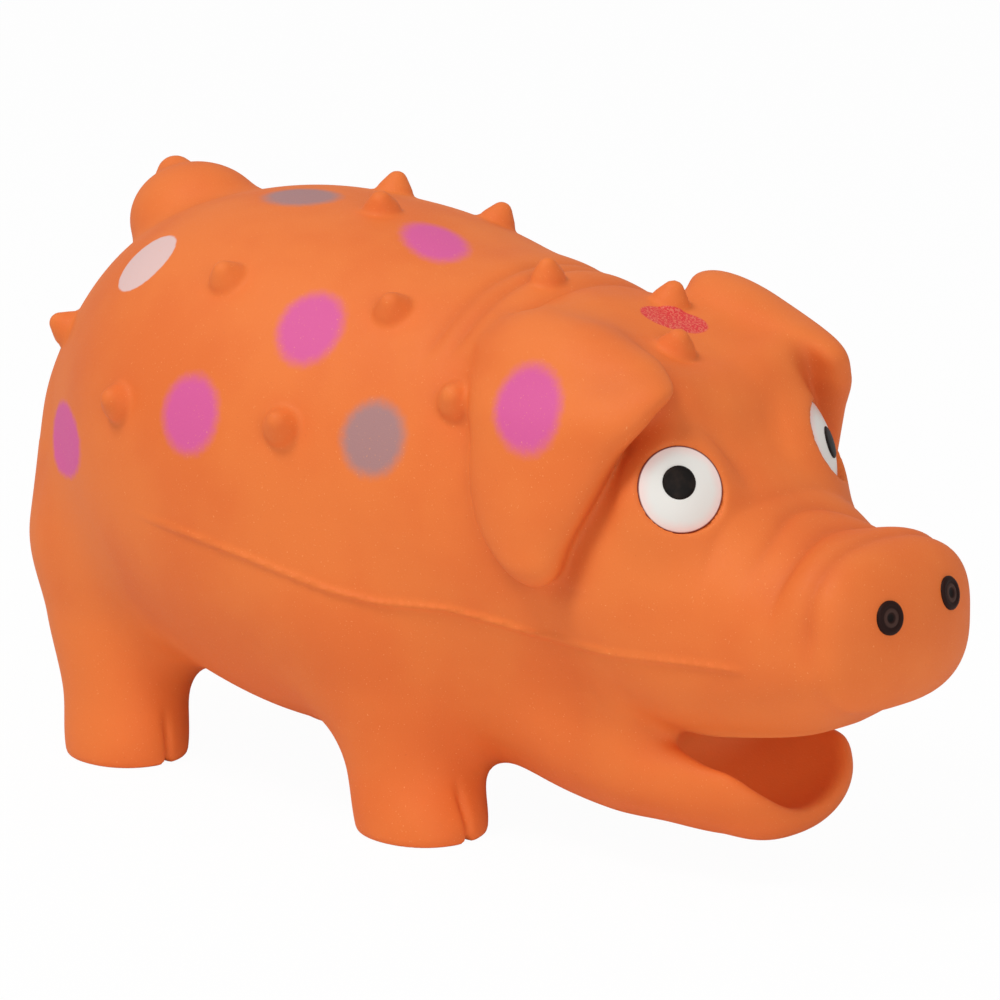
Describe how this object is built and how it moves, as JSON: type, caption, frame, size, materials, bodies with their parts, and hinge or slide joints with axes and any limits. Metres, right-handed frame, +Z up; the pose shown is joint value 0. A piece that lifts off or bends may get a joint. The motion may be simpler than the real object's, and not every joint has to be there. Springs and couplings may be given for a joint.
{
  "type": "latex pig dog toy",
  "caption": "Stuffed latex pig toy with a hollow moulded skin, soft cones, domed eyes, an open mouth and a grunting bellows with a reed inside.",
  "frame": {"origin": "on the floor, under the middle of the toy's bounding box", "axes": "+X forwards to the snout, +Y to the pig's left, +Z up"},
  "size_m": [0.2301, 0.114, 0.1254],
  "materials": {
    "latex": "matte orange latex with painted spots",
    "eye": "satin white latex paint, laid thick",
    "pupil": "satin black latex paint, laid thick",
    "nostril": "matte dark brown",
    "filling": "white polyester fibre",
    "plastic": "plain moulded polyethylene",
    "bellows": "thin soft vinyl",
    "reed": "thin plastic tongue"
  },
  "bodies": {
    "toy": {"body": "latex", "belly_patch": "latex", "head": "latex", "lower_jaw": "latex", "tail": "latex", "ear_left": "latex", "ear_right": "latex", "front_leg_left": "latex", "front_leg_right": "latex", "rear_leg_left": "latex", "rear_leg_right": "latex", "eye_white_left": "eye", "eye_white_right": "eye", "pupil_left": "pupil", "pupil_right": "pupil", "nostril_vent_left": "nostril", "nostril_vent_right": "nostril", "body_filling": "filling", "head_filling": "filling", "front_leg_filling_left": "filling", "front_leg_filling_right": "filling", "rear_leg_filling_left": "filling", "rear_leg_filling_right": "filling", "grunter_base": "plastic", "grunter_bellows": "bellows", "reed_tube": "plastic", "reed_clip": "plastic"},
    "grunter_top": {"grunter_top_plate": "plastic"},
    "reed": {"reed_tongue": "reed"}
  },
  "joints": [
    {"name": "grunter_press", "type": "slide", "parent": "toy", "child": "grunter_top", "axis": [0, 0, -1], "range_m": [0, 0.012], "stiffness_N_per_m": 60, "deforming": ["grunter_bellows"]},
    {"name": "reed_beat", "type": "hinge", "parent": "toy", "child": "reed", "pos_m": [-0.02753, 0, 0.028], "axis": [0, 1, 0], "range_deg": [-1, 3], "stiffness_Nm_per_rad": 0.0005}
  ]
}
